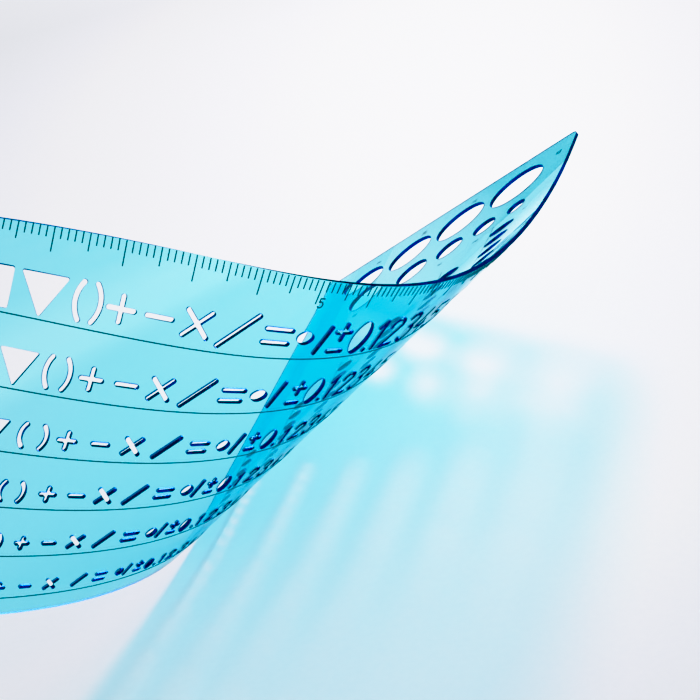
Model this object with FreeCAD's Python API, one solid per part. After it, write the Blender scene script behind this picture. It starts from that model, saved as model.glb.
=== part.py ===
import FreeCAD, Part
import math
import os

# A flexible plastic drafting stencil: one thin rectangular sheet, bent as a developable
# surface, with cut-out symbols, digits and circles and a printed millimetre scale.
# It is drawn flat, then laid on the bent sheet.  Flat pattern: x runs along the scale
# edge from the scale zero, y from the scale edge (0) to the opposite long edge.  The
# symbols read with y pointing down.  Depth runs from the printed face into the sheet.

Vec = FreeCAD.Vector
Vec2 = FreeCAD.Base.Vector2d
TURN = 2 * math.pi

# ------------------------------------------------------------- driving dimensions
DIMENSIONS = [
    # alias, value, meaning
    ("sheet_length", 160.0, "overall length of the flat sheet, mm"),
    ("sheet_width", 60.0, "overall width of the flat sheet, mm"),
    ("sheet_thickness", 0.65, "sheet thickness, mm"),
    ("corner_radius", 1.5, "corner radius, mm"),
    ("straight_from", 80.0, "x beyond which the edge opposite the scale is straight, mm"),
    ("zero_offset", 6.0, "scale zero from the nearer short end, mm"),
    ("ink_height", 0.06, "height of the printed ink, mm"),
    ("tick_start", 0.08, "ticks start this far from the scale edge, mm"),
    ("tick_width", 0.19, "printed tick width, mm"),
    ("tick_short", 1.8, "y where the millimetre ticks end, mm"),
    ("tick_medium", 2.8, "y where the five millimetre ticks end, mm"),
    ("tick_long", 3.85, "y where the centimetre ticks end, mm"),
    ("scale_span", 100.0, "scale length, mm"),
    ("numeral_height", 1.7, "height of the scale numerals, mm"),
    ("numeral_gap", 0.45, "scale numeral past its tick, mm"),
    ("numeral_rise", 1.1, "top of a scale numeral before the end of its tick, mm"),
    ("numeral_stroke", 0.22, "printed numeral stroke, mm"),
    ("rule_width", 0.2, "printed row rule width, mm"),
    ("rule_gap", 0.65, "printed rule below each base line, mm"),
    ("rule_margin", 3.0, "start of the rules from the short end, mm"),
    ("digit_drop", 0.35, "digits and ovals sit this far below the base line, mm"),
    ("column_large", 143.3, "x of the large circle column, mm"),
    ("column_small", 131.8, "x of the small circle column, mm"),
    ("label_height", 1.15, "height of the circle size labels, mm"),
    ("label_gap_small", 2.6, "small circle labels start this far before the circle, mm"),
    # the bent sheet's place and attitude (quaternion) at its home station
    ("start_x", -0.26853, "position x at the home station, mm"),
    ("start_y", -41.07714, "position y at the home station, mm"),
    ("start_z", 59.31943, "position z at the home station, mm"),
    ("turn_qx", 0.811837080, "attitude quaternion, x part"),
    ("turn_qy", -0.068572648, "attitude quaternion, y part"),
    ("turn_qz", -0.268637155, "attitude quaternion, z part"),
    ("turn_qw", -0.513860317, "attitude quaternion, scalar part"),
]

# Rows of cut-outs, from the scale edge outwards.
ROW_COLUMNS = [("base", "base line y"), ("tall", "symbol height"), ("slot", "slot width"),
               ("rule_end", "x where the printed rule ends"),
               ("pitch", "pitch of the digits from 3 on, and of the ovals")]
ROWS = [
    ("one", 12.75, 6.0, 0.78, 128.4, 4.4),
    ("two", 22.75, 5.0, 0.76, 121.5, 4.15),
    ("three", 31.75, 4.0, 0.74, 112.0, 3.7),
    ("four", 40.2, 3.5, 0.72, 105.0, 3.5),
    ("five", 48.35, 3.0, 0.69, 98.5, 3.3),
    ("six", 56.05, 2.4, 0.60, 90.0, 2.85),
]
for name, *sizes in ROWS:
    for (column, meaning), size in zip(ROW_COLUMNS, sizes):
        DIMENSIONS.append((column + "_" + name, size, "row %s, %s, mm" % (name, meaning)))

# Circles: diameter (also the printed label), column, name, y of the centre.
CIRCLES = [
    (12, "large", "twelve", 11.75), (11, "large", "eleven", 24.97),
    (10, "large", "ten", 37.23), (9, "large", "nine", 48.57),
    (4, "small", "four", 9.08), (5, "small", "five", 16.35), (6, "small", "six", 24.4),
    (7, "small", "seven", 33.36), (8, "small", "eight", 43.87),
]
for diameter, column, name, centre_y in CIRCLES:
    DIMENSIONS.append(("centre_" + name, centre_y, "y of the %s mm circle, mm" % name))

# Bend rate about the ruling: station along the scale edge (mm), rate (rad/mm).
BEND = [
    (-60.0, -0.006657), (-20.0, -0.009828), (0.0, -0.013074), (10.0, -0.016599),
    (20.0, -0.020809), (30.0, -0.025610), (40.0, -0.026800), (50.0, -0.024211),
    (60.0, -0.020195), (70.0, -0.018477), (80.0, -0.016013), (90.0, -0.011368),
    (100.0, -0.008230), (110.0, -0.006672), (120.0, -0.005507), (130.0, -0.005463),
    (140.0, -0.006499), (150.0, 0.0), (160.0, 0.0), (300.0, 0.0),
]
# Slant of the rulings: station along the scale edge (mm), dx/dy in the flat pattern.
SLANT = [
    (-60.0, -2.75960), (0.0, -1.92239), (20.0, -1.61051), (40.0, -1.16193),
    (60.0, -0.71689), (80.0, -0.54062), (100.0, -0.67417), (120.0, -0.90322),
    (145.0, -1.19379), (180.0, -1.57532), (300.0, -1.88438),
]
LETTERS = "abcdefghijklmnopqrstuvwxyz"
for name, profile, unit in (("bend", BEND, "rad/mm"), ("slant", SLANT, "dx/dy")):
    for letter, (station, value) in zip(LETTERS, profile):
        DIMENSIONS.append(("%s_station_%s" % (name, letter), station, "station, mm"))
        DIMENSIONS.append(("%s_value_%s" % (name, letter), value, name + ", " + unit))

doc = FreeCAD.newDocument("bent_stencil")
cells = doc.addObject("Spreadsheet::Sheet", "dimensions")
for line, (alias, value, meaning) in enumerate(DIMENSIONS, 1):
    cells.set("A%d" % line, alias)
    cells.set("B%d" % line, repr(value))
    cells.setAlias("B%d" % line, alias)
    cells.set("C%d" % line, meaning)
doc.recompute()


def dim(alias):
    return float(cells.get(alias))


def read_profile(name, count):
    stations = [dim("%s_station_%s" % (name, letter)) for letter in LETTERS[:count]]
    values = [dim("%s_value_%s" % (name, letter)) for letter in LETTERS[:count]]
    return stations, values


WIDTH = dim("sheet_width")
X_START = -dim("zero_offset")
X_END = X_START + dim("sheet_length")
BEND_STATIONS, BEND_RATES = read_profile("bend", len(BEND))
SLANT_STATIONS, SLANT_VALUES = read_profile("slant", len(SLANT))


# ------------------------------------------------------------------- the bend law
def back_substitute(ratios, carried, last):
    # second half of solving a three-diagonal system
    result = [last]
    for ratio, part in zip(reversed(ratios), reversed(carried)):
        result.insert(0, part - result[0] * ratio)
    return result


def natural_second(xs, ys):
    # second derivatives of the natural cubic spline through the points
    ratios, carried = [0.0], [0.0]
    for i in range(1, len(xs) - 1):
        before, after = xs[i] - xs[i - 1], xs[i + 1] - xs[i]
        right = 6 * ((ys[i + 1] - ys[i]) / after - (ys[i] - ys[i - 1]) / before)
        pivot = 2 * (before + after) - before * ratios[-1]
        carried.append((right - before * carried[-1]) / pivot)
        ratios.append(after / pivot)
    return back_substitute(ratios, carried, 0.0)


SLANT_SECOND = natural_second(SLANT_STATIONS, SLANT_VALUES)


def bracket(stations, station):
    # interval that holds the station, and how far through it the station is (0 to 1)
    station = min(max(station, stations[0]), stations[-1])
    i = 0
    while i < len(stations) - 2 and station > stations[i + 1]:
        i += 1
    return i, (station - stations[i]) / (stations[i + 1] - stations[i])


def slant(station):
    i, part = bracket(SLANT_STATIONS, station)
    rest = 1 - part
    gap = SLANT_STATIONS[i + 1] - SLANT_STATIONS[i]
    curved = (rest ** 3 - rest) * SLANT_SECOND[i] + (part ** 3 - part) * SLANT_SECOND[i + 1]
    return rest * SLANT_VALUES[i] + part * SLANT_VALUES[i + 1] + curved * gap * gap / 6


def bend(station):
    i, part = bracket(BEND_STATIONS, station)
    return BEND_RATES[i] * (1 - part) + BEND_RATES[i + 1] * part


# March both ways from the home station; the sheet's frame turns about each ruling.
FIRST, LAST, HOME, STEP = -60, 300, 30, 1.0
COUNT = int((LAST - FIRST) / STEP) + 1
HOME_INDEX = int((HOME - FIRST) / STEP)


def turn(i, j, share):
    # share of the rotation from station i to its neighbour j
    here, there = FIRST + i * STEP, FIRST + j * STEP
    rate = 0.5 * (bend(here) + bend(there))
    lean = 0.5 * (slant(here) + slant(there))
    return FreeCAD.Rotation(Vec(lean, 1, 0), math.degrees(rate * (j - i) * STEP * share))


attitudes, positions = [None] * COUNT, [None] * COUNT
attitudes[HOME_INDEX] = FreeCAD.Rotation(*[dim("turn_q" + axis) for axis in "xyzw"])
positions[HOME_INDEX] = Vec(*[dim("start_" + axis) for axis in "xyz"])
for way, stop in ((1, COUNT - 1), (-1, 0)):
    for i in range(HOME_INDEX, stop, way):
        midway = attitudes[i].multiply(turn(i, i + way, 0.5))
        attitudes[i + way] = attitudes[i].multiply(turn(i, i + way, 1.0))
        positions[i + way] = positions[i] + midway.multVec(Vec(1, 0, 0)) * (STEP * way)
UNIT_AXES = (Vec(1, 0, 0), Vec(0, 1, 0), Vec(0, 0, 1))
FRAMES = [(place, *[attitude.multVec(axis) for axis in UNIT_AXES])
          for place, attitude in zip(positions, attitudes)]


def station_of(x, y):
    # station on the scale edge where the ruling through the flat point (x, y) starts
    low, high = float(FIRST), float(LAST)
    for _ in range(60):
        middle = 0.5 * (low + high)
        if middle + y * slant(middle) < x:
            low = middle
        else:
            high = middle
    return 0.5 * (low + high)


def bent_point(x, y):
    # point of the printed face, and the unit direction of depth there
    station = station_of(x, y)
    steps = (station - FIRST) / STEP
    i = min(max(int(steps), 0), COUNT - 2)
    part = steps - i
    origin, along, across, normal = [
        before * (1 - part) + after * part for before, after in zip(FRAMES[i], FRAMES[i + 1])]
    return origin + (along * slant(station) + across) * y, normal.normalize()


# -------------------------------------------------------- spline faces of the bend
GRID = 2.0         # spacing of the interpolated points and of the spline's knots
GRID_MARGIN = 4.0  # the grid reaches this far past the sheet
TRIM_MARGIN = 2.0  # the spline face is trimmed this far past the sheet
GRID_X, GRID_Y = X_START - GRID_MARGIN, -GRID_MARGIN
COUNT_X = int(round((X_END - X_START + 2 * GRID_MARGIN) / GRID)) + 1
COUNT_Y = int(round((WIDTH + 2 * GRID_MARGIN) / GRID)) + 1
GRID_POINTS = [[bent_point(GRID_X + i * GRID, GRID_Y + j * GRID) for j in range(COUNT_Y)]
               for i in range(COUNT_X)]


def spline_poles(points):
    # poles of the uniform cubic B-spline through the points, with straight ends
    ratios, carried = [0.0], [points[0]]
    for point in points[1:-1]:
        ratio = 1.0 / (4.0 - ratios[-1])
        carried.append((point * 6.0 - carried[-1]) * ratio)
        ratios.append(ratio)
    poles = back_substitute(ratios, carried, points[-1])
    return [poles[0] * 2 - poles[1]] + poles + [poles[-1] * 2 - poles[-2]]


def skin(depth):
    # spline face parallel to the printed face; its parameters are the flat x and y
    rows = [spline_poles([point + normal * depth for point, normal in row])
            for row in GRID_POINTS]
    columns = [spline_poles(list(column)) for column in zip(*rows)]
    poles = [list(row) for row in zip(*columns)]
    knots_x = [GRID_X + (i - 3) * GRID for i in range(COUNT_X + 6)]
    knots_y = [GRID_Y + (j - 3) * GRID for j in range(COUNT_Y + 6)]
    surface = Part.BSplineSurface()
    surface.buildFromPolesMultsKnots(
        poles, [1] * len(knots_x), [1] * len(knots_y), knots_x, knots_y, False, False, 3, 3)
    surface.segment(X_START - TRIM_MARGIN, X_END + TRIM_MARGIN,
                    -TRIM_MARGIN, WIDTH + TRIM_MARGIN)
    return surface


PRINTED_SKIN = skin(0.0)
BACK_SKIN = skin(dim("sheet_thickness"))
INK_SKIN = skin(-dim("ink_height"))


# --------------------------------------------------------------------- flat curves
# A loop is a list of flat curves: ("line", start, end) or
# ("arc", centre, radius, start angle, end angle).
def line(start, end):
    return ("line", start, end)


def arc(centre, radius, start, end):
    return ("arc", centre, radius, start, end)


def circle_loop(centre, radius):
    return [arc(centre, radius, 0.0, math.pi), arc(centre, radius, math.pi, TURN)]


def curve_2d(curve):
    if curve[0] == "line":
        return Part.Geom2d.Line2dSegment(Vec2(*curve[1]), Vec2(*curve[2]))
    _, centre, radius, start, end = curve
    circle = Part.Geom2d.Circle2d(Vec2(*centre), radius)
    return Part.Geom2d.ArcOfCircle2d(circle, min(start, end), max(start, end))


def angle_from(centre, point):
    return math.atan2(point.y - centre.y, point.x - centre.x)


def loop_of(wire):
    # flat wire to a loop, counter-clockwise in (x, y)
    edges, corners = wire.OrderedEdges, wire.OrderedVertexes
    if len(edges) == 1:
        circle = edges[0].Curve
        return circle_loop((circle.Center.x, circle.Center.y), circle.Radius)
    area, pieces = 0.0, []
    for i, edge in enumerate(edges):
        start, end = corners[i].Point, corners[(i + 1) % len(edges)].Point
        middle = edge.valueAt(0.5 * (edge.FirstParameter + edge.LastParameter))
        area += start.cross(middle).z + middle.cross(end).z
        pieces.append((edge, start, middle, end))
    if area < 0:
        pieces = [(edge, end, middle, start) for edge, start, middle, end in reversed(pieces)]
    loop = []
    for edge, start, middle, end in pieces:
        if isinstance(edge.Curve, Part.Circle):
            centre = edge.Curve.Center
            first, halfway, last = [angle_from(centre, p) for p in (start, middle, end)]
            sweep = (last - first) % TURN
            if (halfway - first) % TURN >= sweep:
                sweep -= TURN
            loop.append(arc((centre.x, centre.y), edge.Curve.Radius, first, first + sweep))
        else:
            loop.append(line((start.x, start.y), (end.x, end.y)))
    # the first edge sets the wire's direction, so start on one that is not a clockwise arc
    lead = next(i for i, curve in enumerate(loop) if curve[0] == "line" or curve[4] > curve[3])
    return loop[lead:] + loop[:lead]


# ---------------------------------------------------------------------- flat faces
def arc_edge(start, middle, end):
    return Part.Arc(start, middle, end).toShape()


def stroke_line(start, end, width):
    # straight slot with round ends
    angle = angle_from(start, end)
    along = Vec(math.cos(angle), math.sin(angle), 0) * (width / 2)
    across = Vec(-math.sin(angle), math.cos(angle), 0) * (width / 2)
    right_start, right_end = start - across, end - across
    left_start, left_end = start + across, end + across
    return Part.Face(Part.Wire([
        Part.makeLine(right_start, right_end),
        arc_edge(right_end, end + along, left_end),
        Part.makeLine(left_end, left_start),
        arc_edge(left_start, start - along, right_start)]))


def stroke_arc(start, middle, end, width):
    # arc slot with round ends
    circle = arc_edge(start, middle, end).Curve
    centre = circle.Center
    half = width / 2
    outer, inner = circle.Radius + half, circle.Radius - half

    def on_ring(point, radius):
        angle = angle_from(centre, point)
        return Vec(centre.x + radius * math.cos(angle), centre.y + radius * math.sin(angle), 0)

    def cap(point, side):
        angle = angle_from(centre, point)
        return point + Vec(-math.sin(angle), math.cos(angle), 0) * (side * half)

    first, halfway, last = [angle_from(centre, p) for p in (start, middle, end)]
    sense = 1.0 if (halfway - first) % TURN < (last - first) % TURN else -1.0
    return Part.Face(Part.Wire([
        arc_edge(on_ring(start, outer), on_ring(middle, outer), on_ring(end, outer)),
        arc_edge(on_ring(end, outer), cap(end, sense), on_ring(end, inner)),
        arc_edge(on_ring(end, inner), on_ring(middle, inner), on_ring(start, inner)),
        arc_edge(on_ring(start, inner), cap(start, -sense), on_ring(start, outer))]))


def disc(x, y, radius):
    return Part.Face(Part.Wire([Part.Circle(Vec(x, y, 0), Vec(0, 0, 1), radius).toShape()]))


def oval(centre_x, centre_y, width, height):
    # four-centre oval
    half_short, half_long = min(width, height) / 2, max(width, height) / 2
    tip = 0.62 * half_short  # radius of the two ends
    tip_centre = half_long - tip
    side = (half_short ** 2 + tip_centre ** 2 - tip ** 2) / (2 * (half_short - tip))
    side_centre = side - half_short
    reach = math.hypot(side_centre, tip_centre)
    # where the end arcs meet the side arcs
    meet_x = side_centre / reach * tip
    meet_y = tip_centre + tip_centre / reach * tip

    def at(short, long):
        if width > height:
            return Vec(centre_x + long, centre_y + short, 0)
        return Vec(centre_x + short, centre_y + long, 0)

    return Part.Face(Part.Wire([
        arc_edge(at(meet_x, -meet_y), at(half_short, 0), at(meet_x, meet_y)),
        arc_edge(at(meet_x, meet_y), at(0, half_long), at(-meet_x, meet_y)),
        arc_edge(at(-meet_x, meet_y), at(-half_short, 0), at(-meet_x, -meet_y)),
        arc_edge(at(-meet_x, -meet_y), at(0, -half_long), at(meet_x, -meet_y))]))


def rounded_polygon(points, radius):
    # convex polygon with rounded corners
    corners = [Vec(x, y, 0) for x, y in points]
    count = len(corners)
    arcs = []
    for i, corner in enumerate(corners):
        to_last = (corners[i - 1] - corner).normalize()
        to_next = (corners[(i + 1) % count] - corner).normalize()
        half = math.acos(max(-1, min(1, to_last.dot(to_next)))) / 2
        setback = radius / math.tan(half)
        centre = corner + (to_last + to_next).normalize() * (radius / math.sin(half))
        middle = centre + (corner - centre).normalize() * radius
        arcs.append((corner + to_last * setback, middle, corner + to_next * setback))
    edges = []
    for i in range(count):
        edges.append(arc_edge(*arcs[i]))
        edges.append(Part.makeLine(arcs[i][2], arcs[(i + 1) % count][0]))
    return Part.Face(Part.Wire(edges))


def join(faces):
    return faces[0].multiFuse(faces[1:]).removeSplitter().Faces


# ------------------------------------------------------------------------- symbols
# Strokes as shares of the box between stroke centre lines, (0, 0) at the top left.
# Two points make a straight stroke, three an arc.
STROKES = {
    "(": [((1, 0), (0, 0.5), (1, 1))],
    ")": [((0, 0), (1, 0.5), (0, 1))],
    "+": [((0.5, 0), (0.5, 1)), ((0, 0.5), (1, 0.5))],
    "-": [((0, 0.5), (1, 0.5))],
    "x": [((0, 0), (1, 1)), ((0, 1), (1, 0))],
    "/": [((0, 1), (1, 0))],
    "=": [((0, 0), (1, 0)), ((0, 1), (1, 1))],
    "1": [((1, 0), (1, 1)), ((1, 0), (0.1, 0.2))],
    "2": [((0.02, 0.25), (0.5, 0.0), (0.96, 0.27)), ((0.96, 0.27), (0, 1)), ((0, 1), (1, 1))],
    "3": [((0.05, 0.1), (0.92, 0.22), (0.45, 0.46)), ((0.45, 0.46), (0.98, 0.75), (0.0, 0.9))],
    "4": [((0.62, 0), (0, 0.68)), ((0, 0.68), (1, 0.68)), ((0.72, 0.48), (0.72, 1))],
    "5": [((0.92, 0), (0.12, 0)), ((0.12, 0), (0.06, 0.44)),
          ((0.06, 0.44), (0.98, 0.68), (0.0, 0.93))],
    "6": [((0.85, 0.04), (0.06, 0.45), (0.5, 1.0)), ((0.5, 1.0), (1.0, 0.72), (0.5, 0.46))],
    "7": [((0, 0), (1, 0)), ((1, 0), (0.35, 1))],
    "9": [((0.15, 0.96), (0.94, 0.55), (0.5, 0.0)), ((0.5, 0.0), (0.0, 0.28), (0.5, 0.54))],
}
SQUARE_CORNER = 0.35  # corner radius of the squares, mm


def stroked(sign, x, y, width, height, stroke):
    faces = []
    for points in STROKES[sign]:
        places = [Vec(x + stroke / 2 + across * (width - stroke),
                      y + stroke / 2 + down * (height - stroke), 0) for across, down in points]
        draw = stroke_line if len(places) == 2 else stroke_arc
        faces.append(draw(*places, stroke))
    if len(faces) == 1 or sign == "=":
        return faces
    return join(faces)


def plus_minus(x, y, width, height, stroke):
    # a plus sign over a separate bar
    middle, left, right = x + width / 2, x + stroke / 2, x + width - stroke / 2
    plus_height = 0.54 * height
    plus_y = y + plus_height / 2 + stroke / 4
    bar_y = y + height - stroke / 2 - 0.03 * height
    upright = stroke_line(Vec(middle, y + stroke / 2, 0), Vec(middle, y + plus_height, 0), stroke)
    crossbar = stroke_line(Vec(left, plus_y, 0), Vec(right, plus_y, 0), stroke)
    return join([upright, crossbar]) + [
        stroke_line(Vec(left, bar_y, 0), Vec(right, bar_y, 0), stroke)]


def symbol(sign, x, y, width, height, stroke):
    # flat faces of one symbol whose box has its top left at (x, y)
    middle = x + width / 2
    if sign in STROKES:
        return stroked(sign, x, y, width, height, stroke)
    if sign == "square":
        corners = [(x, y), (x + width, y), (x + width, y + height), (x, y + height)]
        return [rounded_polygon(corners, SQUARE_CORNER)]
    if sign == "triangle":
        # the corners overshoot the box to make up for their rounding
        radius = 0.045 * height
        overshoot = 0.73 * radius
        corners = [(x - overshoot, y), (x + width + overshoot, y), (middle, y + height + radius)]
        return [rounded_polygon(corners, radius)]
    if sign == "plus_minus":
        return plus_minus(x, y, width, height, stroke)
    if sign in ("0", "oval", "wide_oval"):
        return [oval(middle, y + height / 2, width, height)]
    if sign == ".":
        return [disc(middle, y + height - width / 2, width / 2)]
    if sign == "8":
        return join([disc(middle, y + 0.27 * height, 0.27 * height),
                     disc(middle, y + 0.7 * height, 0.3 * height)])
    raise ValueError(sign)


# --------------------------------------------------------------- rows of cut-outs
# Each row has these signs; digits 4 to 9 and four more ovals follow at the row's pitch.
SIGNS = ["square", "triangle", "(", ")", "+", "-",
         "x", "/", "=", "wide_oval", "/", "plus_minus",
         "0", ".", "1", "2", "3", "oval"]
# For each sign: left x in mm, then width and height as shares of the row height.
SIGN_BOXES = {
    "one": [
        (-0.25, 1, 1), (6.85, 1.075, 1.01), (14.2, 0.27, 1.03), (16.95, 0.27, 1.03),
        (18.95, 0.74, 0.74), (24.6, 0.74, 0.1), (30.35, 0.75, 0.75), (36.15, 1.015, 1.03),
        (43.4, 0.885, 0.5), (49.65, 0.54, 0.39), (53.95, 0.34, 0.9), (56.7, 0.62, 0.99),
        (61.1, 0.68, 1.06), (65.35, 0.15, 1), (66.3, 0.333, 1.05), (69.6, 0.65, 1.05),
        (74.4, 0.63, 1.05), (105.3, 0.47, 0.92)],
    "two": [
        (-0.2, 1, 1), (6, 1.075, 1.01), (12.35, 0.28, 1.03), (15.25, 0.29, 1.03),
        (17.62, 0.75, 0.75), (23, 0.76, 0.1), (28.4, 0.77, 0.77), (33.9, 1.05, 1.03),
        (40.5, 0.92, 0.52), (46.25, 0.65, 0.43), (50.55, 0.4, 1.02), (54.4, 0.64, 0.99),
        (58.35, 0.72, 1.06), (62.3, 0.17, 1), (63.2, 0.349, 1.05), (66.6, 0.68, 1.05),
        (70.8, 0.66, 1.05), (99.95, 0.52, 0.92)],
    "three": [
        (0.4, 1, 1), (5.45, 1.075, 1.01), (11.25, 0.34, 1.03), (14.55, 0.34, 1.03),
        (17.12, 0.8, 0.8), (22.45, 0.78, 0.1), (27.65, 0.83, 0.8), (33.15, 1.07, 1.04),
        (39.35, 0.95, 0.56), (44.9, 0.65, 0.52), (48.2, 0.45, 1.03), (51.4, 0.64, 1),
        (55, 0.76, 1.05), (58.4, 0.2, 1), (59.6, 0.39, 1.03), (62.7, 0.76, 1.03),
        (66.6, 0.74, 1.03), (92.6, 0.61, 0.92)],
    "four": [
        (1.1, 1.02, 1.02), (5.8, 1.075, 1.01), (10.8, 0.36, 1.04), (13.95, 0.36, 1.04),
        (17.25, 0.82, 0.8), (21.95, 0.84, 0.1), (26.75, 0.88, 0.84), (31.85, 1.07, 1.05),
        (37.5, 1, 0.6), (42.75, 0.7, 0.6), (45.5, 0.45, 1.02), (48.1, 0.62, 1),
        (51.2, 0.75, 1.03), (54.6, 0.22, 1), (55.3, 0.39, 1), (58.4, 0.76, 1),
        (62.1, 0.74, 1), (86.7, 0.62, 0.92)],
    "five": [
        (1.8, 1.05, 1.05), (6, 1.075, 1.01), (10.25, 0.4, 1.05), (13.3, 0.4, 1.05),
        (16.4, 0.83, 0.81), (20.95, 0.85, 0.1), (25.5, 0.92, 0.84), (30.4, 1.07, 1.05),
        (35.6, 1.05, 0.66), (40.5, 0.75, 0.63), (43, 0.5, 1.02), (45.4, 0.7, 1.02),
        (48.25, 0.76, 1.02), (51.5, 0.24, 1), (52.4, 0.41, 1), (55.1, 0.8, 1),
        (58.7, 0.78, 1), (81.9, 0.66, 0.92)],
    "six": [
        (2.5, 1.08, 1.08), (6.2, 1.075, 1.01), (10.05, 0.42, 1.05), (12.85, 0.42, 1.05),
        (15.9, 0.88, 0.85), (20.4, 0.92, 0.1), (24.95, 0.96, 0.9), (30.3, 1, 1.02),
        (34.4, 1.05, 0.76), (38.95, 0.7, 0.65), (40.9, 0.5, 1.04), (43.2, 0.76, 1.04),
        (45.8, 0.8, 1.02), (48.3, 0.27, 1), (49.4, 0.431, 1), (51.5, 0.84, 1),
        (54.7, 0.82, 1), (74.75, 0.7, 0.92)],
}
OVAL_COUNT = 5
LAST_OVAL_HEIGHT = 0.94  # share of the row height
# height of a sign's centre above the base line, as a share of the row height
CENTRE_HEIGHT = {"+": 0.51, "-": 0.5, "x": 0.51, "=": 0.49, "wide_oval": 0.5}
DROPPED = ("0", ".", "1", "2", "3", "4", "5", "6", "7", "8", "9", "oval")


def row_signs(name):
    # every sign of a row: sign, left x, width share, height share
    pitch = dim("pitch_" + name)
    *signs, first_oval = [(sign, *box) for sign, box in zip(SIGNS, SIGN_BOXES[name])]
    two_width = signs[-2][2]
    _, three_x, three_width, digit_height = signs[-1]
    for steps, digit in enumerate("456789", 1):
        width = two_width if digit == "8" else three_width
        signs.append((digit, three_x + steps * pitch, width, digit_height))
    _, oval_x, oval_width, oval_height = first_oval
    for steps in range(OVAL_COUNT):
        height = LAST_OVAL_HEIGHT if steps == OVAL_COUNT - 1 else oval_height
        signs.append(("oval", oval_x + steps * pitch, oval_width, height))
    return signs


def row_faces(name):
    base, tall, slot = dim("base_" + name), dim("tall_" + name), dim("slot_" + name)
    faces = []
    for sign, x, width_share, height_share in row_signs(name):
        width, height = width_share * tall, height_share * tall
        if sign in CENTRE_HEIGHT:
            y = base - CENTRE_HEIGHT[sign] * tall - height / 2
        elif sign == "triangle":
            y = base - 0.98 * tall
        else:
            y = base - height + (dim("digit_drop") if sign in DROPPED else 0.0)
        faces += symbol(sign, x, y, width, height, slot)
    return faces


# ------------------------------------------------------------------ bent solids
def bent_edges(loop, surface):
    return [curve_2d(curve).toShape(surface) for curve in loop]


def bent_face(loops, surface):
    # the first loop is the outline, the others are holes
    face = Part.Face(Part.Wire(bent_edges(loops[0], surface)))
    for loop in loops[1:]:
        hole = Part.Wire(bent_edges(loop, surface))
        hole.reverse()
        face = Part.Face(face, hole)
    return face


def close_solid(faces):
    compound = Part.Compound(faces)
    compound.sewShape(1e-3)
    solid = Part.Solid(compound.Shells[0])
    if solid.Volume < 0:
        solid.reverse()
    return solid


def plate(loops, low, high, flat_side=None):
    # solid between two surfaces; the outline's curve number flat_side gets a plane wall
    walls = []
    for loop_index, loop in enumerate(loops):
        edges = zip(bent_edges(loop, low), bent_edges(loop, high))
        for side, (low_edge, high_edge) in enumerate(edges):
            if loop_index == 0 and side == flat_side:
                start, end = [vertex.Point for vertex in low_edge.Vertexes]
                top_start, top_end = [vertex.Point for vertex in high_edge.Vertexes]
                polygon = Part.makePolygon([start, end, top_end, top_start, start])
                walls.append(Part.Face(polygon))
            else:
                walls.append(Part.makeRuledSurface(low_edge, high_edge, 1))
    return close_solid([bent_face(loops, low), bent_face(loops, high)] + walls)


def ink_patch(x_from, x_to, y_from, y_to):
    # pieces of the printed face and of the ink top, for one printed mark
    low, high = PRINTED_SKIN.copy(), INK_SKIN.copy()
    low.segment(x_from, x_to, y_from, y_to)
    high.segment(x_from, x_to, y_from, y_to)
    return low, high


def ink_bar(x_from, x_to, y_from, y_to):
    low, high = ink_patch(x_from, x_to, y_from, y_to)
    corners = [(x_from, y_from), (x_to, y_from), (x_to, y_to), (x_from, y_to)]
    loop = [line(corners[i], corners[(i + 1) % 4]) for i in range(4)]
    walls = [Part.makeRuledSurface(low_edge, high_edge, 1)
             for low_edge, high_edge in zip(bent_edges(loop, low), bent_edges(loop, high))]
    return close_solid([low.toShape(), high.toShape()] + walls)


def ink_text(text, x, y, height, stroke):
    # printed digits, top left at (x, y)
    margin = 0.3
    solids = []
    for digit in text:
        width = (0.36 if digit == "1" else 0.62) * height
        for face in symbol(digit, x, y, width, height, stroke):
            holes = [wire for wire in face.Wires if not wire.isSame(face.OuterWire)]
            loops = [loop_of(wire) for wire in [face.OuterWire] + holes]
            low, high = ink_patch(x - margin, x + width + margin,
                                  y - margin, y + height + margin)
            solids.append(plate(loops, low, high))
        x += width + 0.28 * height
    return solids


# ------------------------------------------------------------------------- pieces
def circle_place(diameter, column, name):
    return dim("column_" + column), dim("centre_" + name), diameter / 2


def stencil_sheet():
    radius = dim("corner_radius")
    left, right = X_START + radius, X_END - radius
    top = WIDTH - radius
    straight = dim("straight_from")
    outline = [
        line((left, 0), (right, 0)),
        arc((right, radius), radius, -math.pi / 2, 0),
        line((X_END, radius), (X_END, top)),
        arc((right, top), radius, 0, math.pi / 2),
        line((right, WIDTH), (straight, WIDTH)),
        line((straight, WIDTH), (left, WIDTH)),
        arc((left, top), radius, math.pi / 2, math.pi),
        line((X_START, top), (X_START, radius)),
        arc((left, radius), radius, math.pi, 1.5 * math.pi)]
    loops = [outline]
    for name, *_ in ROWS:
        loops += [loop_of(face.OuterWire) for face in row_faces(name)]
    for diameter, column, name, _ in CIRCLES:
        x, y, circle_radius = circle_place(diameter, column, name)
        loops.append(circle_loop((x, y), circle_radius))
    # the rulings that reach outline[4] start where the bend rate is zero
    return plate(loops, PRINTED_SKIN, BACK_SKIN, flat_side=4)


def tick_spacing(millimetre):
    # coarsest of the three tick spacings that the mark belongs to
    return next(spacing for spacing in (10, 5, 1) if millimetre % spacing == 0)


def scale_ticks(spacing, length):
    half = dim("tick_width") / 2
    return Part.Compound([
        ink_bar(mark - half, mark + half, dim("tick_start"), length)
        for mark in range(int(dim("scale_span")) + 1) if tick_spacing(mark) == spacing])


def scale_numerals():
    # centimetre numerals at 50 mm and 100 mm
    y = dim("tick_long") - dim("numeral_rise")
    solids = []
    for text in ("5", "10"):
        x = 10 * int(text) + dim("numeral_gap")
        solids += ink_text(text, x, y, dim("numeral_height"), dim("numeral_stroke"))
    return Part.Compound(solids)


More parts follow.
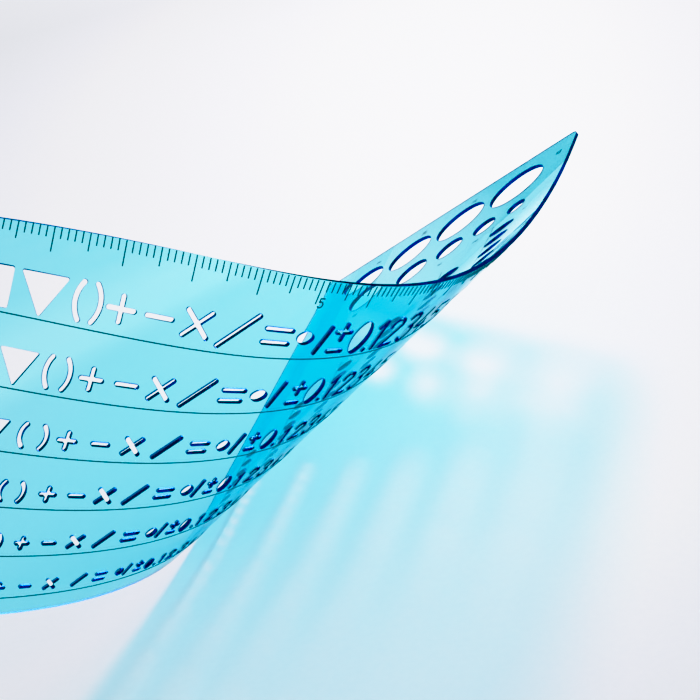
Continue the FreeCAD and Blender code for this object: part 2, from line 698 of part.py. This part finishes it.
def row_rule(name):
    y = dim("base_" + name) + dim("rule_gap")
    half = dim("rule_width") / 2
    return ink_bar(X_START + dim("rule_margin"), dim("rule_end_" + name), y - half, y + half)


# Top left of the large circles' labels from the circle centre: x, y in mm.
LARGE_LABEL = (6.4, -2.0)
LABEL_TWELVE = (3.9, -9.2)
# The same for the small circles, y only.
SMALL_LABEL_Y = 0.3
LABEL_FOUR_Y = -3.6
LABEL_STROKE_SHARE = 0.8  # label stroke as a share of the numeral stroke


def circle_size_labels():
    stroke = dim("numeral_stroke") * LABEL_STROKE_SHARE
    solids = []
    for diameter, column, name, _ in CIRCLES:
        x, y, radius = circle_place(diameter, column, name)
        if column == "large":
            shift_x, shift_y = LABEL_TWELVE if diameter == 12 else LARGE_LABEL
        else:
            shift_x = -radius - dim("label_gap_small")
            shift_y = LABEL_FOUR_Y if diameter == 4 else SMALL_LABEL_Y
        solids += ink_text(str(diameter), x + shift_x, y + shift_y, dim("label_height"), stroke)
    return Part.Compound(solids)


def add_piece(label, shape):
    piece = doc.addObject("Part::Feature", label)
    piece.Shape = shape
    piece.Label = label


add_piece("stencil_sheet", stencil_sheet())
for spacing, length_alias in ((10, "tick_long"), (1, "tick_short"), (5, "tick_medium")):
    add_piece("scale_ticks_%dmm" % spacing, scale_ticks(spacing, dim(length_alias)))
add_piece("scale_numerals", scale_numerals())
for number, (name, *_) in enumerate(ROWS, 1):
    add_piece("row_rule_%d" % number, row_rule(name))
add_piece("circle_size_labels", circle_size_labels())
doc.recompute()

# -------------------------------------------------------------------------- files
os.makedirs("parts", exist_ok=True)
for item in doc.Objects:
    if "Invalid" in item.State or "Error" in item.State:
        raise RuntimeError("bad state: " + item.Name)
    if item.isDerivedFrom("Part::Feature"):
        if item.Shape.isNull() or not item.Shape.isValid():
            raise RuntimeError("bad shape: " + item.Label)
        item.Shape.exportStep("parts/%s.step" % item.Label)
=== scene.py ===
# A thin, bent, clear cyan stencil sheet with printed ink, above a white table top.
# Metres, +Z up; the camera stands on the -Y side ("near") and looks towards +Y ("far").
# The bend law of the sheet is in millimetres.
import bpy
import numpy as np
from mathutils import Matrix, Quaternion, Vector


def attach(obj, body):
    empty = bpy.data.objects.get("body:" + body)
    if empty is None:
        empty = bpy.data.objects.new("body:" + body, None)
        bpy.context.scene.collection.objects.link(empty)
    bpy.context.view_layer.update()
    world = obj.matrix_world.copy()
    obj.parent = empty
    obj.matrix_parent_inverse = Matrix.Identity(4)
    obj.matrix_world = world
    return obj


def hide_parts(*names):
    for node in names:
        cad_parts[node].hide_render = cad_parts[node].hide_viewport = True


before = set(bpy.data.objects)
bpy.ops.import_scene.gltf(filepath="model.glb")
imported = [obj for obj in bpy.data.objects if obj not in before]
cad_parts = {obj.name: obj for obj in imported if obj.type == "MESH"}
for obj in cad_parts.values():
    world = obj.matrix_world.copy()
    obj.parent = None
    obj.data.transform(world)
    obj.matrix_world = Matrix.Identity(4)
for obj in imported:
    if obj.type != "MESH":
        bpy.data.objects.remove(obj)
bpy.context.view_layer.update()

MM_PER_M = 1000.0

# Bend law: the sheet is a developable surface, swept along stations 1 mm apart.
# (station mm, turn about the ruling in radians per mm), read with straight lines
BEND = [
    (-60.0, -0.006657), (-20.0, -0.009828), (0.0, -0.013074), (10.0, -0.016599),
    (20.0, -0.020809), (30.0, -0.025610), (40.0, -0.026800), (50.0, -0.024211),
    (60.0, -0.020195), (70.0, -0.018477), (80.0, -0.016013), (90.0, -0.011368),
    (100.0, -0.008230), (110.0, -0.006672), (120.0, -0.005507), (130.0, -0.005463),
    (140.0, -0.006499), (150.0, 0.0), (160.0, 0.0), (300.0, 0.0),
]
# (station mm, flat x gained per mm of flat y along the ruling), read with a spline
SLANT = [
    (-60.0, -2.75960), (0.0, -1.92239), (20.0, -1.61051), (40.0, -1.16193),
    (60.0, -0.71689), (80.0, -0.54062), (100.0, -0.67417), (120.0, -0.90322),
    (145.0, -1.19379), (180.0, -1.57532), (300.0, -1.88438),
]
FIRST_STATION, LAST_STATION = BEND[0][0], BEND[-1][0]
HOME_STATION = 30                                  # where place and turn are known
HOME_PLACE = (-0.26853, -41.07714, 59.31943)       # mm
HOME_TURN = (-0.513860317, 0.811837080, -0.068572648, -0.268637155)   # w, x, y, z

# Limits that tell a true foot point from a stray one, mm
FLAT_Y_RANGE = (-2, 63)
DEPTH_LIMIT = 2.5
BATCH = 4000              # points handled at once, to bound memory
FACE_COSINE = 0.8         # above this a triangle is a broad face, below it a cut wall
UV_UNIT = 100.0           # mm of flat sheet per UV unit

INK_TONE = (0.003, 0.028, 0.042)

TABLE_HALF = 3.0
TABLE_Z = -0.0002
TABLE_CENTRE = (-0.01, -0.03, 0.0)     # the table's painted pool of light, painted glow and distant fade spread from here


# ------------------------------------------------------------------ node helpers
def feed(tree, socket, value):
    """Link value to the socket if it is a socket, else set it as the default."""
    if isinstance(value, bpy.types.NodeSocket):
        tree.links.new(value, socket)
    else:
        socket.default_value = value


def node(tree, kind, inputs=None, **settings):
    """A new node; inputs maps socket names or numbers to values or sockets."""
    made = tree.nodes.new(kind)
    for key, value in settings.items():
        setattr(made, key, value)
    for key, value in (inputs or {}).items():
        feed(tree, made.inputs[key], value)
    return made


def maths(tree, operation, first, second, clamp=False):
    made = node(tree, "ShaderNodeMath", {0: first, 1: second},
                operation=operation, use_clamp=clamp)
    return made.outputs[0]


def rise(tree, value, start, gain):
    """0 up to start, then climbing by gain per unit to 1."""
    past = maths(tree, "SUBTRACT", value, start)
    return maths(tree, "MULTIPLY", past, gain, clamp=True)


def line(tree, value, slope, offset):
    """slope * value + offset, held between 0 and 1."""
    scaled = maths(tree, "MULTIPLY", value, slope)
    return maths(tree, "ADD", scaled, offset, clamp=True)


def map_range(tree, value, source, target):
    inputs = {0: value, 1: source[0], 2: source[1], 3: target[0], 4: target[1]}
    return node(tree, "ShaderNodeMapRange", inputs).outputs[0]


def noise(tree, vector, scale, detail, roughness=0.5):
    inputs = {"Vector": vector, "Scale": scale, "Detail": detail, "Roughness": roughness}
    return node(tree, "ShaderNodeTexNoise", inputs).outputs["Fac"]


def colour_ramp(tree, factor, low, high, between=()):
    """Ramp from low at 0 to high at 1; between holds (position, colour) stops."""
    made = node(tree, "ShaderNodeValToRGB", {"Fac": factor})
    stops = made.color_ramp.elements
    stops[0].color = low
    stops[1].color = high
    for position, colour in between:
        stops.new(position).color = colour
    return made.outputs["Color"]


def mix_colour(tree, factor, first, second):
    made = node(tree, "ShaderNodeMix", {"Factor": factor}, data_type="RGBA")
    colours = [socket for socket in made.inputs if socket.type == "RGBA"]
    feed(tree, colours[0], first)
    feed(tree, colours[1], second)
    return [socket for socket in made.outputs if socket.type == "RGBA"][0]


def mix_shader(tree, factor, first, second):
    return node(tree, "ShaderNodeMixShader", {"Fac": factor, 1: first, 2: second}).outputs[0]


def bump(tree, height, strength, distance):
    inputs = {"Height": height, "Strength": strength, "Distance": distance}
    return node(tree, "ShaderNodeBump", inputs).outputs["Normal"]


def emission(tree, colour, strength):
    inputs = {"Color": colour, "Strength": strength}
    return node(tree, "ShaderNodeEmission", inputs).outputs[0]


def principled(tree, colour, roughness):
    inputs = {"Base Color": colour, "Roughness": roughness}
    return node(tree, "ShaderNodeBsdfPrincipled", inputs)


def position_of(tree):
    return node(tree, "ShaderNodeNewGeometry").outputs["Position"]


def split_axes(tree, vector):
    return node(tree, "ShaderNodeSeparateXYZ", {0: vector}).outputs


def mirror_rays(tree, rays):
    """1 for glossy rays that have not passed through the sheet."""
    straight = maths(tree, "SUBTRACT", 1.0, rays["Is Transmission Ray"])
    return maths(tree, "MULTIPLY", rays["Is Glossy Ray"], straight)


def new_material(name):
    """A material with an empty tree but for its output node."""
    material = bpy.data.materials.new(name)
    material.use_nodes = True
    tree = material.node_tree
    tree.nodes.clear()
    return material, tree, node(tree, "ShaderNodeOutputMaterial")


# --------------------------------------------------------------------- materials
def sheet_material():
    material, tree, output = new_material("clear_cyan_sheet")
    rays = node(tree, "ShaderNodeLightPath").outputs

    # slow drift of the tint through the sheet
    drift = noise(tree, position_of(tree), scale=22.0, detail=3.0, roughness=0.55)
    tint = colour_ramp(tree, drift, low=(0.80, 0.965, 0.992, 1), high=(0.90, 0.985, 1.0, 1))

    # shallow hairline handling marks, stretched across the sheet
    flat = node(tree, "ShaderNodeUVMap", uv_map="flat")
    stretched = node(tree, "ShaderNodeMapping", {
        "Vector": flat.outputs["UV"],
        "Rotation": (0.0, 0.0, 0.45),
        "Scale": (6.0, 170.0, 1.0),
    })
    marks = noise(tree, stretched.outputs["Vector"], scale=1.0, detail=4.0, roughness=0.7)
    cut = rise(tree, marks, start=0.66, gain=6.0)

    # what the eye meets: tinted glass; the cut walls are slightly rough and painted dark
    # blue, a painted shade for the light lost along the plastic
    wall = node(tree, "ShaderNodeAttribute", attribute_name="wall").outputs["Fac"]
    wall_roughness = 0.18
    # painted shade: dark blue glass colour on the cut walls
    wall_painted_shade_colour = (0.09, 0.12, 0.52, 1)
    glass = node(tree, "ShaderNodeBsdfGlass", {
        "IOR": 1.52,
        "Color": mix_colour(tree, wall, tint, wall_painted_shade_colour),
        "Roughness": maths(tree, "MULTIPLY", wall, wall_roughness),
        "Normal": bump(tree, cut, strength=0.025, distance=0.00001),
    })

    # what shadow and bounce rays meet: clear faces, so only the dye inside tints them
    clear = node(tree, "ShaderNodeBsdfTransparent", {"Color": (0.96, 0.97, 0.98, 1)})
    indirect = maths(tree, "MAXIMUM", rays["Is Shadow Ray"], rays["Is Diffuse Ray"])
    surface = mix_shader(tree, indirect, glass.outputs[0], clear.outputs[0])
    feed(tree, output.inputs["Surface"], surface)

    # dye in the plastic, and a painted blue glow in it for the light that gathers along the
    # sheet
    dye = node(tree, "ShaderNodeVolumeAbsorption",
               {"Density": 1000.0, "Color": (0.0, 0.79, 0.968, 1)})
    # painted light: the plastic glows blue though it is no lamp
    painted_glow = emission(tree, colour=(0.0, 0.3, 6.0, 1), strength=1.0)
    volume = node(tree, "ShaderNodeAddShader", {0: dye.outputs[0], 1: painted_glow})
    feed(tree, output.inputs["Volume"], volume.outputs[0])
    return material


def ink_material():
    material, tree, output = new_material("printed_ink")
    grain = noise(tree, position_of(tree), scale=2600.0, detail=3.0, roughness=0.6)
    dark, light = [tuple(v * gain for v in INK_TONE) + (1,) for gain in (0.6, 1.6)]
    ink = principled(tree, colour_ramp(tree, grain, low=dark, high=light), roughness=0.55)
    feed(tree, ink.inputs["Normal"], bump(tree, grain, strength=0.15, distance=0.00002))
    feed(tree, output.inputs["Surface"], ink.outputs[0])
    return material


def table_material():
    material, tree, output = new_material("white_table")
    position = position_of(tree)
    rays = node(tree, "ShaderNodeLightPath").outputs
    shifted = node(tree, "ShaderNodeVectorMath", {0: position, 1: TABLE_CENTRE},
                   operation="SUBTRACT")
    distance = node(tree, "ShaderNodeVectorMath", {0: shifted.outputs["Vector"]},
                    operation="LENGTH").outputs["Value"]

    # grainy white with a painted pool of light: darker outwards, except towards the near side
    grain = noise(tree, position, scale=900.0, detail=5.0)
    white = colour_ramp(tree, grain, low=(0.86, 0.865, 0.885, 1), high=(0.90, 0.905, 0.92, 1))
    # painted light: brightness falls from the centre outwards
    painted_falloff = map_range(tree, distance, source=(0.05, 0.32), target=(1.0, 0.44))
    fore = map_range(tree, split_axes(tree, position)["Y"],
                     source=(-0.12, -0.24), target=(0.0, 1.0))
    shade = node(tree, "ShaderNodeVectorMath",
                 {0: white, "Scale": maths(tree, "MAXIMUM", painted_falloff, fore)}, operation="SCALE")
    top = principled(tree, shade.outputs["Vector"], roughness=0.6)

    # painted reflection: in mirror rays the outer table glows, most of all on the near side
    mirror = mirror_rays(tree, rays)
    outer = maths(tree, "MULTIPLY", rise(tree, distance, start=0.16, gain=4.0), mirror)
    strength = map_range(tree, split_axes(tree, position)["Y"],
                         source=(-0.05, -0.20), target=(0.66, 2.7))
    # painted glow, seen only in reflections
    painted_mirror_glow = emission(tree, colour=(1.0, 1.0, 1.04, 1), strength=strength)
    top_and_painted_glow = mix_shader(tree, outer, top.outputs[0], painted_mirror_glow)

    # to all but mirror and diffuse rays it fades to a pale tone in the distance
    excluded = maths(tree, "MAXIMUM", mirror, rays["Is Diffuse Ray"])
    seen = maths(tree, "SUBTRACT", 1.0, excluded)
    horizon = maths(tree, "MULTIPLY", rise(tree, distance, start=0.27, gain=3.6), seen)
    pale = emission(tree, colour=(0.93, 0.925, 0.97, 1), strength=1.0)
    feed(tree, output.inputs["Surface"], mix_shader(tree, horizon, top_and_painted_glow, pale))
    return material


def wear(thing, material):
    """Put one material in every slot of the object."""
    if not thing.material_slots:
        thing.data.materials.append(material)
    for slot in thing.material_slots:
        slot.link = "OBJECT"
        slot.material = material


# ------------------------------------------------------------ the sheet's own shape
def natural_spline(knots, values, at):
    count = len(knots)
    system = np.eye(count)
    right_side = np.zeros(count)
    for k in range(1, count - 1):
        before, after = knots[k] - knots[k - 1], knots[k + 1] - knots[k]
        system[k, k - 1:k + 2] = before, 2 * (before + after), after
        right_side[k] = 6 * ((values[k + 1] - values[k]) / after
                             - (values[k] - values[k - 1]) / before)
    second = np.linalg.solve(system, right_side)       # second derivative at each knot
    k = np.clip(np.searchsorted(knots, at) - 1, 0, count - 2)
    span = knots[k + 1] - knots[k]
    low, high = (knots[k + 1] - at) / span, (at - knots[k]) / span
    curve = (low ** 3 - low) * second[k] + (high ** 3 - high) * second[k + 1]
    return low * values[k] + high * values[k + 1] + curve * span * span / 6


def bend_frames():
    """Stations, ruling slants, places and axes (rows x, y, normal), walked from home."""
    stations = np.arange(FIRST_STATION, LAST_STATION + 0.5, 1.0)
    turns = np.interp(stations, *np.array(BEND).T)
    slants = natural_spline(*np.array(SLANT).T, stations)
    count = len(stations)
    rotations, places = [None] * count, [None] * count
    home = int(HOME_STATION - stations[0])
    rotations[home] = Quaternion(HOME_TURN)
    places[home] = Vector(HOME_PLACE)
    for step in (1, -1):
        k = home
        while 0 <= k + step < count:
            turn = 0.5 * (turns[k] + turns[k + step])
            ruling = (0.5 * (slants[k] + slants[k + step]), 1, 0)
            halfway = rotations[k] @ Quaternion(ruling, turn * step * 0.5)
            rotations[k + step] = rotations[k] @ Quaternion(ruling, turn * step)
            places[k + step] = places[k] + halfway @ Vector((step, 0, 0))
            k += step
    units = ((1, 0, 0), (0, 1, 0), (0, 0, 1))
    axes = np.array([[list(turned @ Vector(unit)) for unit in units] for turned in rotations])
    return stations, slants, np.array([list(place) for place in places]), axes


def flat_coordinates(points):
    """Points in mm -> flat x and y in mm, and the exact surface normal at each."""
    stations, slants, places, axes = bend_frames()
    across, normals = axes[:, 1], axes[:, 2]
    rulings = slants[:, None] * axes[:, 0] + across
    ruling_squared = (rulings ** 2).sum(1)
    # each station's plane holds its ruling and its surface normal
    planes = np.cross(rulings, normals)
    planes /= np.linalg.norm(planes, axis=1)[:, None]
    plane_offsets = (places * planes).sum(1)
    flat = np.zeros((len(points), 2))
    directions = np.zeros((len(points), 3))
    for start in range(0, len(points), BATCH):
        batch = points[start:start + BATCH]
        gap = batch @ planes.T - plane_offsets[None, :]
        along = batch @ rulings.T - (places * rulings).sum(1)[None, :]
        along = along / ruling_squared[None, :]
        depth = batch @ normals.T - (places * normals).sum(1)[None, :]
        # the point lies between the first two stations whose planes it falls between
        crossing = ((gap[:, :-1] * gap[:, 1:] <= 0)
                    & (along[:, :-1] > FLAT_Y_RANGE[0]) & (along[:, :-1] < FLAT_Y_RANGE[1])
                    & (np.abs(depth[:, :-1]) < DEPTH_LIMIT))
        k = np.argmax(crossing, axis=1)
        i = np.arange(len(batch))
        part = gap[i, k] / (gap[i, k] - gap[i, k + 1] + 1e-12)
        normal = normals[k] * (1 - part)[:, None] + normals[k + 1] * part[:, None]
        normal /= np.linalg.norm(normal, axis=1)[:, None]
        directions[start:start + BATCH] = normal
        flat_y = along[i, k] * (1 - part) + along[i, k + 1] * part
        slant = slants[k] * (1 - part) + slants[k + 1] * part
        flat_x = stations[k] + part + flat_y * slant
        flat[start:start + BATCH] = np.stack([flat_x, flat_y], 1)
    return flat, directions


def read_array(items, field, width, kind):
    values = np.zeros(len(items) * width, kind)
    items.foreach_get(field, values)
    return values.reshape(-1, width)


def clear_sheet(cad):
    """Copy of the CAD sheet with exact bend normals, flat UVs and a cut-wall mask."""
    mesh = cad.data.copy()
    mesh.name = "stencil_clear"
    points = read_array(mesh.vertices, "co", 3, np.float64) * MM_PER_M
    flat, directions = flat_coordinates(points)
    corners = read_array(mesh.loops, "vertex_index", 1, np.int32)[:, 0]
    corner_normals = read_array(mesh.corner_normals, "vector", 3, np.float32)
    triangle_normals = read_array(mesh.polygons, "normal", 3, np.float32)
    surface = directions[corners]
    facing = (np.repeat(triangle_normals, 3, axis=0) * surface).sum(1)
    is_face = np.abs(facing) > FACE_COSINE
    # cut walls stand square to the sheet
    lean = (corner_normals * surface).sum(1)[:, None]
    wall_normals = corner_normals - lean * surface
    lengths = np.linalg.norm(wall_normals, axis=1)
    wall_normals /= np.maximum(lengths, 1e-6)[:, None]
    face_normals = surface * np.sign(facing)[:, None]
    normals = np.where(is_face[:, None], face_normals, wall_normals)

    uv = mesh.uv_layers.new(name="flat")
    uv.data.foreach_set("uv", (flat[corners] / UV_UNIT).astype(np.float32).ravel())
    wall = mesh.attributes.new("wall", "FLOAT", "CORNER")
    wall.data.foreach_set("value", (~is_face).astype(np.float32))
    mesh.normals_split_custom_set([tuple(v) for v in normals])
    return add_object("stencil_clear", mesh)


def add_object(name, data):
    made = bpy.data.objects.new(name, data)
    bpy.context.scene.collection.objects.link(made)
    return made


def build_stencil():
    sheet, ink = sheet_material(), ink_material()
    for name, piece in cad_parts.items():
        wear(piece, sheet if name == "stencil_sheet" else ink)
    stencil = clear_sheet(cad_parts["stencil_sheet"])
    wear(stencil, sheet)
    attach(stencil, "root")
    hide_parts("stencil_sheet")


# ------------------------------------------------------------------------- stage
def build_table():
    mesh = bpy.data.meshes.new("table_top")
    signs = ((-1, -1), (1, -1), (1, 1), (-1, 1))
    corners = [(x * TABLE_HALF, y * TABLE_HALF, TABLE_Z) for x, y in signs]
    mesh.from_pydata(corners, [], [(0, 1, 2, 3)])
    table = add_object("table_top", mesh)
    table.data.materials.append(table_material())


def grey(value):
    """A faintly blue grey."""
    return (value, value, value * 1.04, 1)


def build_world():
    world = bpy.data.worlds.new("studio")
    bpy.context.scene.world = world
    world.use_nodes = True
    tree = world.node_tree
    rays = node(tree, "ShaderNodeLightPath").outputs
    look = node(tree, "ShaderNodeTexCoord").outputs["Generated"]
    axes = split_axes(tree, look)

    # at the far end mirror rays see a dim room that grows pale to the left (-X)
    side = line(tree, axes["X"], slope=-16.0, offset=-3.44)
    room = colour_ramp(tree, side, low=(0.03, 0.03, 0.04, 1), high=(1.1, 1.1, 1.14, 1),
                       between=[(0.12, grey(0.06)), (0.30, grey(0.42)), (0.60, grey(0.72))])
    ahead = rise(tree, axes["Y"], start=0.88, gain=30.0)
    plain_wall = (0.55, 0.55, 0.58, 1)
    walls = mix_colour(tree, ahead, plain_wall, room)

    # and a bright soft panel low on the near side
    towards_near = maths(tree, "MULTIPLY", axes["Y"], -1.0)
    near = rise(tree, towards_near, start=0.45, gain=3.5)
    low = line(tree, axes["Z"], slope=-2.6, offset=1.45)
    panel_colour = (2.9, 2.9, 3.0, 1)
    reflected = mix_colour(tree, maths(tree, "MULTIPLY", near, low), walls, panel_colour)

    # all other rays see an even fill
    fill = (0.478, 0.472, 0.522, 1)
    background = tree.nodes["Background"]
    background.inputs["Strength"].default_value = 1.0
    colour = mix_colour(tree, mirror_rays(tree, rays), fill, reflected)
    feed(tree, background.inputs["Color"], colour)


def build_light():
    """Soft disk light beyond the sheet, shining down towards the near side."""
    light = bpy.data.lights.new("back_softbox", "AREA")
    light.shape = "DISK"
    light.size = 0.15
    light.energy = 4.2
    light.color = (1.0, 0.985, 1.05)
    lamp = add_object("back_softbox", light)
    aim = Vector((0.0, 0.0, 0.02))
    travel = Vector((-0.0584, -0.8711, -0.4876)).normalized()
    reach = 0.62
    lamp.location = aim - travel * reach
    lamp.rotation_euler = travel.to_track_quat("-Z", "Y").to_euler()
    lamp.visible_transmission = False


def build_camera():
    lens = bpy.data.cameras.new("camera")
    lens.sensor_width = 36.0
    lens.lens = 110.46378857
    lens.clip_start = 0.01
    camera = add_object("camera", lens)
    right = (0.9757767, 0.0, -0.2187687)
    up = (0.1947513, 0.4555394, 0.8686517)
    backward = (0.0996578, -0.8902156, 0.4445048)
    place = Vector((0.0475482, -0.3128842, 0.1758329))
    turn = Matrix((right, up, backward)).transposed()
    camera.matrix_world = Matrix.Translation(place) @ turn.to_4x4()
    bpy.context.scene.camera = camera


def set_curve(curve, points):
    """Straight-segment curve through (input, output) points."""
    while len(curve.points) < len(points):
        curve.points.new(1.5, 1.0)
    for point, location in zip(curve.points, points):
        point.location = location
        point.handle_type = "VECTOR"


def set_exposure():
    """High key: pale tones roll off softly, the weakest red drops out of the cyan."""
    view = bpy.context.scene.view_settings
    view.view_transform = "Standard"
    view.use_curve_mapping = True
    mapping = view.curve_mapping
    mapping.use_clip = False
    mapping.clip_max_x = 3.0
    red, combined = mapping.curves[0], mapping.curves[3]
    set_curve(combined, [(0.0, 0.0), (0.6, 0.6), (0.8, 0.75), (1.0, 0.86),
                         (1.25, 0.93), (1.6, 0.975), (2.2, 1.0), (3.0, 1.0)])
    set_curve(red, [(0.0, 0.0), (0.14, 0.0), (1.0, 1.0), (3.0, 3.0)])
    mapping.update()


build_stencil()
build_table()
build_world()
build_light()
build_camera()
set_exposure()
